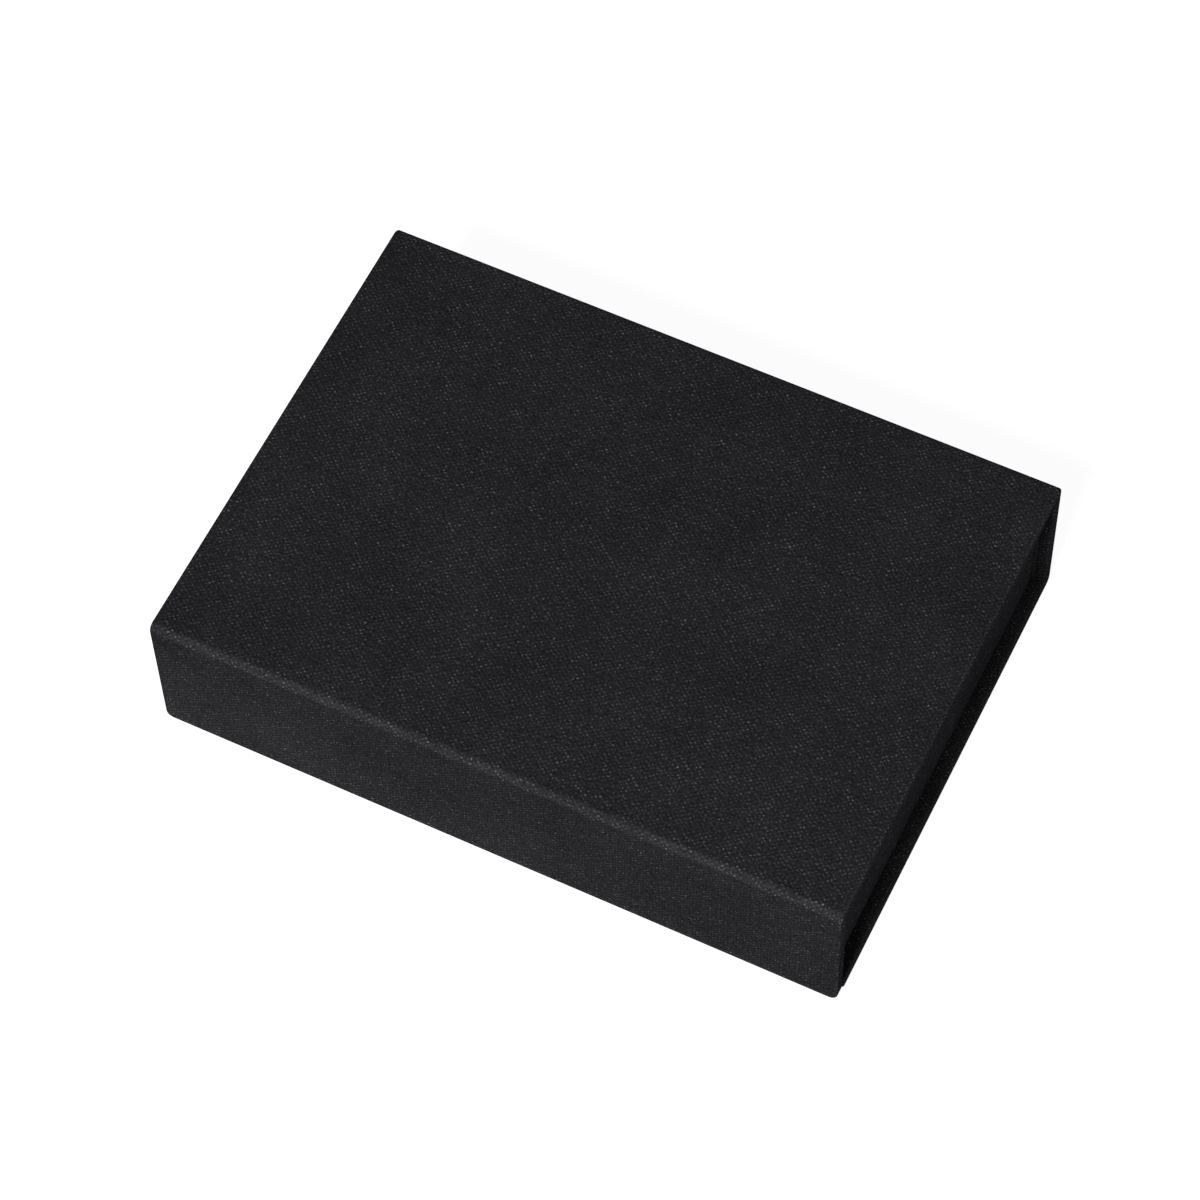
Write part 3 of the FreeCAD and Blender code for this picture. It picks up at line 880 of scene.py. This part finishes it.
def make_base_cloth():
    """Cover the spine's lower part and the base, round the bottom fold, which stays closed."""
    settings = cover_settings()
    bend = settings.bend
    fold = Fold(1, bend)
    corner_centre = (BACK - bend, bend)
    past_seam = SPINE_SEAM + PAST

    def rim(corners):
        if in_plane(corners, 1, BASE_FRONT):
            return True
        on_foot = all(corner.y > BACK - bend - SAME and corner.z < bend + SAME for corner in corners)
        flat = in_plane(corners, 2, 0, PANEL) or in_plane(corners, 1, BACK, BACK - PANEL)
        return on_end(corners) and (flat or on_foot)

    cloth = wrap_boards(
        "base_case_cloth",
        [
            (BACK, SPINE_SEAM),
            *arc(corner_centre, bend, 0, -90, 12),
            (BASE_FRONT, 0),
            (BASE_FRONT, PANEL),
            (BACK - PANEL, PANEL),
            (BACK - PANEL, SPINE_SEAM),
        ],
        rim,
        [
            (BACK - CLOTH, past_seam),
            *arc(corner_centre, bend - CLOTH, 0, -90, 10),
            (BASE_FRONT + CLOTH, CLOTH),
            (BASE_FRONT + CLOTH, BOARD_FACE),
            (BACK - BOARD_FACE, BOARD_FACE),
            (BACK - BOARD_FACE, past_seam),
        ],
        [
            (BACK - WINDOW_FACE, past_seam),
            (BACK - WINDOW_FACE, WINDOW_FACE),
            (BASE_FRONT + settings.turn_in, WINDOW_FACE),
            (BASE_FRONT + settings.turn_in, BEHIND),
            (BACK - BEHIND, BEHIND),
            (BACK - BEHIND, past_seam),
        ],
    )

    # painted paler over the base's foot and front edge, as wear and as a painted highlight
    def wear_and_sheen_at(place):
        at_foot = on_rounding(BACK - place.y, place.z, bend)
        return [*case_wear_and_sheen(place, fold), at_foot, on_rounding(place.y - BASE_FRONT, place.z, settings.edge)]

    lay_cloth(cloth, lambda place, normal: unrolled(place, normal, fold), wear_and_sheen_at)
    dress(cloth, CASE_SLOT, "base_cloth")
    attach(cloth, "root")


# The linings.


def make_fold_lining(name, out, foot, replaced, bodies):
    """Line the lid on one side of the seam, and the wall beyond its fold down to foot, in one piece."""
    settings = lining_settings()
    cover = cover_settings()
    fold = Fold(out, cover.bend)
    groove = CLOTH + 0.2 * MM
    lining = add_prism(
        name,
        LINING_END,
        [
            (SEAM, TOP - LINED),
            fold.inner(LINED, SLIT, on_lid=True),
            fold.at(groove),
            fold.inner(LINED, SLIT, on_lid=False),
            (fold.face - out * LINED, foot),
            (fold.face - out * PANEL, foot),
            *lining_at_fold(fold),
            (SEAM, TOP - PANEL),
        ],
    )
    dip = PANEL - BOARD_FACE
    opening = END - cover.turn_in
    low = FLAP_FOOT + cover.turn_in if out < 0 else 0
    edit(lining)
    cut(0, -opening, settings.step - opening, opening - settings.step, opening)
    if out < 0:
        cut(2, low, low + settings.step)
    inside = opening - settings.step + REACH
    # how far the fold's groove reaches past its bend, and how wide the groove's mouth is
    groove_reach = 0.7 * MM
    mouth = 1 * MM

    def beyond(corner):
        """How far a vertex lies towards the wall from the fold's middle plane."""
        return out * (corner.y - fold.face) + (TOP - corner.z)

    def is_flat(corner):
        in_groove = fold.holds(corner.y - out * groove_reach, corner.z + groove_reach)
        return abs(corner.x) < inside and not in_groove

    def on_lid(corners):
        return is_flat(corners[0]) and beyond(corners[0]) < 0

    def on_wall(corners):
        return is_flat(corners[0]) and beyond(corners[0]) > 0 and corners[0].z > low + settings.step - REACH

    def at_mouth(corners):
        return is_flat(corners[0]) and abs(beyond(corners[0])) < mouth

    choose("VERT", lambda corners: on_lid(corners) and not at_mouth(corners))
    move(z=dip)
    choose("VERT", lambda corners: on_wall(corners) and not at_mouth(corners))
    move(y=out * dip)
    choose("VERT", at_mouth)
    move(y=out * dip, z=dip)
    leave_edit()
    smooth(lining, 20)
    dress(lining, LINING_SLOT, *replaced)
    fold.bends(lining, *bodies)


# The tray.


def grown(low, high, by, bottom=None, top=None):
    """Two corners with the walls between them moved out, and the bottom and top where they are told."""
    low, high = Vector(low), Vector(high)
    new_low = Vector((low.x - by, low.y - by, low.z if bottom is None else bottom))
    new_high = Vector((high.x + by, high.y + by, high.z if top is None else top))
    return new_low, new_high


def rising(corners):
    return not near(corners[0].z, corners[1].z)


def add_rounded_block(name, low, high, radius):
    """Add a block with its upright edges rounded."""
    block = add_block(name, low, high)
    edit(block)
    choose("EDGE", rising)
    round_edges(radius)
    leave_edit()
    return block


def make_tray_cloth():
    """Wrap the tray's walls outside, over their tops and a strip down inside."""
    edge = cover_settings().edge
    corner_radius = edge + 0.2 * MM
    low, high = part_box("tray_cloth")
    walls_low = Vector(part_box("tray_left_wall")[0])
    walls_high = Vector(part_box("tray_right_wall")[1])
    walls_low.y, walls_high.y = low.y + CLOTH, high.y - CLOTH
    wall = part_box("tray_left_wall")[1].x - walls_low.x
    doubled = wall + 2 * CLOTH
    rim = high.z
    turned_to = rim - TRAY_TURN_IN
    cloth = add_rounded_block("tray_outer_cloth", low, high, corner_radius)
    edit(cloth)
    choose("EDGE", lambda corners: all(near(corner.z, rim) for corner in corners))
    round_edges(edge)
    leave_edit()
    inside = add_rounded_block("inside", *grown(low, high, -doubled, turned_to, rim + PAST), INNER_CORNER)
    take_away(cloth, inside)

    def on_inner_rim(corners):
        depths = [min(high.x - abs(corner.x), corner.y - low.y, high.y - corner.y) for corner in corners]
        return all(near(corner.z, rim) for corner in corners) and min(depths) > doubled - CLEAR

    edit(cloth)
    choose("EDGE", on_inner_rim)
    round_edges(edge)
    leave_edit()
    sides = (walls_low, walls_high)
    room = add_rounded_block("room", *grown(*sides, 0, low.z - PAST, turned_to + 2 * REACH), INNER_CORNER)
    boards = add_rounded_block("boards", *grown(*sides, 0, turned_to - PAST), INNER_CORNER)
    core = add_rounded_block("core", *grown(*sides, -wall, turned_to - 2 * PAST, rim + PAST), INNER_CORNER)
    take_away(boards, core)
    take_away(cloth, room, boards)
    smooth(cloth)

    def flat_place(place, normal):
        if abs(normal.z) > 0.7:
            return place.x, place.y
        return (place.y if abs(normal.x) > abs(normal.y) else place.x), place.z

    # painted paler over the tray's rims and corners, as wear and as a painted highlight
    def wear_and_sheen_at(place):
        across = high.x - abs(place.x)
        along = min(place.y - low.y, high.y - place.y)
        outside = min(across, along)
        at_rim = [on_rounding(depth, rim - place.z, edge) for depth in (outside, doubled - outside)]
        return [*at_rim, on_rounding(across, along, corner_radius)]

    lay_cloth(cloth, flat_place, wear_and_sheen_at)
    dress(cloth, TRAY_SLOT, "tray_cloth")
    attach(cloth, "root")


def make_wall_lining():
    """Line the tray's walls with paper that steps over the turned-in cloth."""
    step = lining_settings().step
    low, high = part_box("tray_wall_lining")
    turned_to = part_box("tray_cloth")[1].z - TRAY_TURN_IN
    foot_of_step = turned_to - step
    solids = []
    for inset, under in ((0.0, 0.0), (LINING, PAST)):
        solid = add_block("tray_wall_lining_paper", *grown(low, high, -inset, low.z - under, foot_of_step))
        edit(solid)
        choose("FACE", lambda corners: all(near(corner.z, foot_of_step) for corner in corners))
        bpy.ops.mesh.inset(thickness=CLOTH, depth=step)
        rise = high.z + under - turned_to
        bpy.ops.mesh.extrude_region_move(TRANSFORM_OT_translate={"value": (0, 0, rise)})
        choose("EDGE", rising)
        round_edges(INNER_CORNER)
        leave_edit()
        solids.append(solid)
    lining = solids[0]
    take_away(*solids)
    smooth(lining, 20)
    dress(lining, LINING_SLOT, "tray_wall_lining")
    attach(lining, "root")


def make_floor_lining():
    """Line the tray's floor with a sheet that isn't quite flat."""
    low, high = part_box("tray_floor_lining")
    lining = add_block("tray_floor_lining_paper", low, high)
    edit(lining)
    for axis, parts in ((0, 20), (1, 14)):
        cut(axis, *[low[axis] + (high[axis] - low[axis]) * part / parts for part in range(1, parts)])
    leave_edit()
    group = lining.vertex_groups.new(name="upper face")
    group.add([vertex.index for vertex in lining.data.vertices if near(vertex.co.z, high.z)], 1.0, "REPLACE")
    waves = bpy.data.textures.new("paper waves", "CLOUDS")
    waves.noise_scale = 0.05
    displace = lining.modifiers.new("waves", "DISPLACE")
    displace.texture = waves
    displace.texture_coords = "GLOBAL"
    displace.direction = "Z"
    displace.mid_level = 0.9
    displace.strength = 0.12 * MM
    displace.vertex_group = group.name
    apply_modifiers(lining)
    smooth(lining, 20)
    dress(lining, LINING_SLOT, "tray_floor_lining")
    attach(lining, "root")


# Operators.


class PHOTOBOX_OT_materials(bpy.types.Operator):
    """Make the book cloth, paper, board and metal that the box is finished with"""

    bl_idname = "photobox.materials"
    bl_label = "Make materials"

    def execute(self, context):
        uneven = make_uneven_group()
        weave = make_weave_group()
        pressed = make_pressed_group()
        make_book_cloth(CASE_CLOTH, weave, uneven, None)
        make_book_cloth(TRAY_CLOTH, weave, uneven, pressed)
        make_paper(uneven, pressed)
        make_greyboard(uneven)
        make_metal(STEEL, uneven, (0.56, 0.56, 0.56, 1), 0.38, 0.1)
        make_metal(NICKEL, uneven, (0.66, 0.65, 0.61, 1), 0.22, 0.06)
        return {"FINISHED"}


class PHOTOBOX_OT_case_cloth(bpy.types.Operator):
    """Cover the lid, flap, spine and base"""

    bl_idname = "photobox.case_cloth"
    bl_label = "Cover the case"

    def execute(self, context):
        make_front_cloth()
        make_spine_cloth()
        make_base_cloth()
        return {"FINISHED"}


class PHOTOBOX_OT_case_linings(bpy.types.Operator):
    """Line the lid, flap and spine inside"""

    bl_idname = "photobox.case_linings"
    bl_label = "Line the case"

    def execute(self, context):
        replaced = ("flap_lining", "lid_lining")
        make_fold_lining("front_lining_paper", -1, FLAP_LINING_FOOT, replaced, ("lid", "flap"))
        make_fold_lining("back_lining_paper", 1, PANEL, ("spine_lining",), ("root", "lid"))
        return {"FINISHED"}


class PHOTOBOX_OT_tray_cloth(bpy.types.Operator):
    """Cover the tray's walls"""

    bl_idname = "photobox.tray_cloth"
    bl_label = "Cover the tray"

    def execute(self, context):
        make_tray_cloth()
        return {"FINISHED"}


class PHOTOBOX_OT_tray_linings(bpy.types.Operator):
    """Line the tray's walls and floor"""

    bl_idname = "photobox.tray_linings"
    bl_label = "Line the tray"

    def execute(self, context):
        make_wall_lining()
        make_floor_lining()
        return {"FINISHED"}


class PHOTOBOX_OT_boards(bpy.types.Operator):
    """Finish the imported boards, steel discs and magnets that the coverings hide"""

    bl_idname = "photobox.boards"
    bl_label = "Finish boards and closures"

    def execute(self, context):
        for part in frame["record"]["subparts"]:
            node = bpy.data.objects[part["node"]]
            if not node.material_slots:
                raise RuntimeError(f"{node.name} has no material slot")
            for slot in node.material_slots:
                slot.material = finish_of(part["material_slot"])
        return {"FINISHED"}


class PHOTOBOX_OT_studio(bpy.types.Operator):
    """Set the box on a pale floor in soft light, with the camera"""

    bl_idname = "photobox.studio"
    bl_label = "Set up the studio"

    def execute(self, context):
        make_floor()
        make_world()
        make_lamps()
        make_camera()
        context.scene.view_settings.view_transform = "Standard"
        return {"FINISHED"}


def seen_directly(nodes):
    """1 for rays that show the background: from the camera, off gloss or through glass."""
    rays = nodes.add("ShaderNodeLightPath").outputs
    shown = nodes.math("MAXIMUM", rays["Is Camera Ray"], rays["Is Glossy Ray"])
    return nodes.math("MAXIMUM", shown, rays["Is Transmission Ray"])


def make_floor():
    deselect_all()
    bpy.ops.mesh.primitive_circle_add(vertices=96, radius=6.0, fill_type="NGON")
    floor = bpy.context.object
    floor.name = "studio_floor"
    material = bpy.data.materials.new("Pale floor")
    material.use_nodes = True
    nodes = Nodes(material.node_tree)
    # what the floor throws back at the box, and how it looks: white, with a faint shadow
    bounce = nodes.add("ShaderNodeBsdfDiffuse", {"Color": (0.7, 0.7, 0.7, 1)})
    shadowed = nodes.add("ShaderNodeBsdfDiffuse", {"Color": (0.22, 0.22, 0.22, 1)})
    white = nodes.add("ShaderNodeEmission", {"Color": (1, 1, 1, 1), "Strength": 0.92})
    shown = nodes.add("ShaderNodeAddShader", {0: shadowed.outputs[0], 1: white.outputs[0]})
    seen = nodes.add("ShaderNodeMixShader", {0: seen_directly(nodes), 1: bounce.outputs[0], 2: shown.outputs[0]})
    nodes.add("ShaderNodeOutputMaterial", {"Surface": seen.outputs[0]})
    floor.data.materials.append(material)


def make_world():
    world = bpy.data.worlds.new("Studio")
    bpy.context.scene.world = world
    world.use_nodes = True
    nodes = Nodes(world.node_tree)
    strength = nodes.remap(seen_directly(nodes), 0.0, 1.0, studio_settings().fill, 1.0)
    background = nodes.add("ShaderNodeBackground", {"Color": (1, 1, 1, 1), "Strength": strength})
    nodes.add("ShaderNodeOutputWorld", {"Surface": background.outputs[0]})


def make_lamp(name, place, size, power):
    """Add a rectangular lamp that is aimed at the box's middle."""
    lamp = bpy.data.lights.new(name, "AREA")
    lamp.shape = "RECTANGLE"
    lamp.size, lamp.size_y = size
    lamp.energy = power
    lamp_object = bpy.data.objects.new(name, lamp)
    bpy.context.collection.objects.link(lamp_object)
    direction = Vector((0, 0, LAMP_AIM)) - Vector(place)
    lamp_object.matrix_world = Matrix.Translation(place) @ direction.to_track_quat("-Z", "Y").to_matrix().to_4x4()


def make_lamps():
    studio = studio_settings()
    make_lamp("main_lamp", (0.02, -0.87, 0.91), (0.36, 0.36), studio.key)
    make_lamp("side_lamp", (1.0, -0.2, 0.09), (0.5, 0.12), studio.side)


def make_camera():
    """Look at the box from the right of its front, from above, the camera tilted a little about its axis."""
    place = Vector((231.55, -449.34, 867.71)) * MM
    turned, raised, tilt = math.radians(27.529), math.radians(59.141), math.radians(1.879)
    forward = Vector(
        (-math.sin(turned) * math.cos(raised), math.cos(turned) * math.cos(raised), -math.sin(raised))
    )
    level = forward.cross(Vector((0, 0, 1))).normalized()
    upward = level.cross(forward)
    right = math.cos(tilt) * level - math.sin(tilt) * upward
    up = right.cross(forward)
    camera = bpy.data.cameras.new("camera")
    camera.lens = studio_settings().lens
    camera.sensor_width = 36.0
    camera.clip_start, camera.clip_end = 0.05, 50.0
    camera_object = bpy.data.objects.new("camera", camera)
    bpy.context.collection.objects.link(camera_object)
    turn = Matrix((right, up, -forward)).transposed().to_4x4()
    camera_object.matrix_world = Matrix.Translation(place) @ turn
    bpy.context.scene.camera = camera_object


OPERATORS = (
    PHOTOBOX_OT_materials,
    PHOTOBOX_OT_case_cloth,
    PHOTOBOX_OT_case_linings,
    PHOTOBOX_OT_tray_cloth,
    PHOTOBOX_OT_tray_linings,
    PHOTOBOX_OT_boards,
    PHOTOBOX_OT_studio,
)


class PHOTOBOX_PT_panel(bpy.types.Panel):
    bl_label = "Photo storage box"
    bl_idname = "PHOTOBOX_PT_panel"
    bl_space_type = "VIEW_3D"
    bl_region_type = "UI"
    bl_category = "Photo Box"

    def draw(self, context):
        for settings in (cover_settings(), lining_settings(), studio_settings()):
            for name in settings.__annotations__:
                self.layout.prop(settings, name)
        for operator in OPERATORS:
            self.layout.operator(operator.bl_idname)


SETTINGS = {
    "photo_box_cover": CoverSettings,
    "photo_box_lining": LiningSettings,
    "photo_box_studio": StudioSettings,
}


def register():
    for made in (*SETTINGS.values(), *OPERATORS, PHOTOBOX_PT_panel):
        bpy.utils.register_class(made)
    for name, settings in SETTINGS.items():
        setattr(bpy.types.Scene, name, bpy.props.PointerProperty(type=settings))


def unregister():
    for name in SETTINGS:
        delattr(bpy.types.Scene, name)
    for made in reversed((*SETTINGS.values(), *OPERATORS, PHOTOBOX_PT_panel)):
        bpy.utils.unregister_class(made)


def main():
    register()
    bpy.ops.photobox.materials()
    bpy.ops.photobox.case_cloth()
    bpy.ops.photobox.case_linings()
    bpy.ops.photobox.tray_cloth()
    bpy.ops.photobox.tray_linings()
    bpy.ops.photobox.boards()
    bpy.ops.photobox.studio()


if __name__ == "__main__":
    main()
